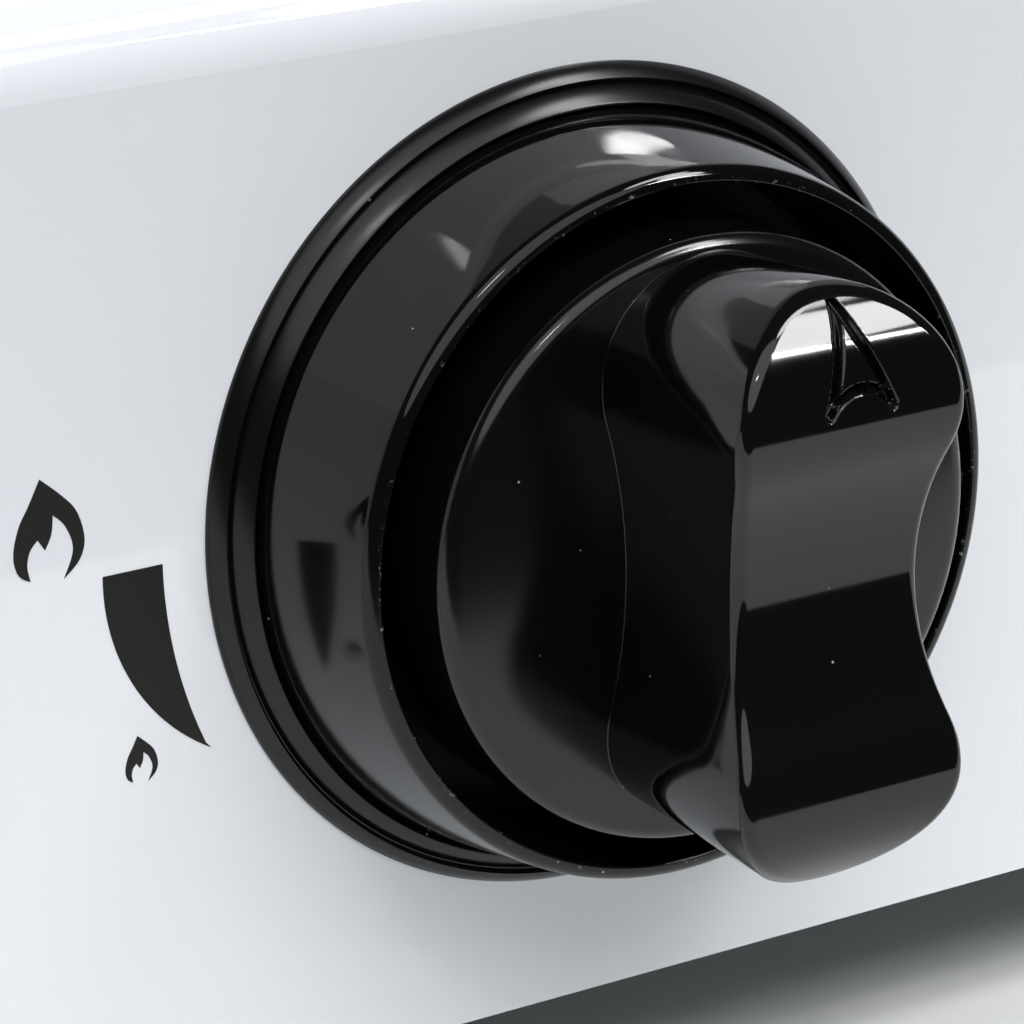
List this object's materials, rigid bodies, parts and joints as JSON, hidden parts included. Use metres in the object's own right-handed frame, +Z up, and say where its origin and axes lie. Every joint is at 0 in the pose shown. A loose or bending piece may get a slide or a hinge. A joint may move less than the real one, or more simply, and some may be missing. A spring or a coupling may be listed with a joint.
{
  "type": "single burner gas hob",
  "caption": "Table-top gas hob: white enamelled body, push-and-turn knob in a deep bezel, taper-plug tap, mixing-tube burner, lift-off crown, cap and pan support.",
  "frame": {"origin": "middle of the footprint, knob to hose tail, on the table that the feet stand on", "axes": "+Z up, +Y from the front panel to the rear wall, +X to the right seen from the front"},
  "size_m": [0.29, 0.3679, 0.121],
  "materials": {
    "white_enamel": "gloss vitreous enamel on sheet steel",
    "zinc_sheet": "zinc-plated sheet steel",
    "screw_steel": "bright zinc-plated steel",
    "spring_steel": "oiled spring steel",
    "rubber": "matt moulded rubber",
    "black_plastic": "gloss moulded thermoset plastic",
    "brass": "turned brass",
    "pipe_aluminium": "drawn aluminium tube",
    "cast_aluminium": "die-cast aluminium",
    "black_enamel": "satin black enamel on steel"
  },
  "bodies": {
    "hob": {"body_shell": "white_enamel", "base_plate": "zinc_sheet", "base_screws": "screw_steel", "rubber_feet": "rubber", "knob_bezel": "black_plastic", "tap_body": "brass", "tap_bonnet": "zinc_sheet", "bonnet_screws": "screw_steel", "panel_screws": "screw_steel", "injector": "brass", "supply_pipe": "pipe_aluminium", "pipe_nuts": "brass", "pipe_olives": "brass", "inlet_nozzle": "brass", "inlet_washer": "screw_steel", "inlet_locknut": "brass", "burner_body": "cast_aluminium", "burner_screws": "screw_steel"},
    "plug": {"tap_plug": "brass", "tap_spring": "spring_steel"},
    "knob": {"control_knob": "black_plastic", "knob_clip": "spring_steel", "tap_spindle": "screw_steel"},
    "crown": {"burner_crown": "cast_aluminium"},
    "cap": {"burner_cap": "black_enamel"},
    "pan_support": {"pan_support_ring": "black_enamel", "pan_support_fingers": "black_enamel"}
  },
  "joints": [
    {"name": "tap_turn", "type": "hinge", "parent": "hob", "child": "plug", "pos_m": [0, -0.15005, 0.0515], "axis": [0, -1, 0], "range_deg": [0, 115]},
    {"name": "knob_push", "type": "slide", "parent": "plug", "child": "knob", "axis": [0, 1, 0], "range_m": [0, 0.0035], "stiffness_N_per_m": 1200, "springref_m": -0.003, "deforming": ["tap_spring"]},
    {"name": "pan_support_lift", "type": "slide", "parent": "hob", "child": "pan_support", "axis": [0, 0, 1], "range_m": [0, 0.06]},
    {"name": "crown_lift", "type": "slide", "parent": "hob", "child": "crown", "axis": [0, 0, 1], "range_m": [0, 0.05]},
    {"name": "cap_lift", "type": "slide", "parent": "crown", "child": "cap", "axis": [0, 0, 1], "range_m": [0, 0.05]}
  ]
}
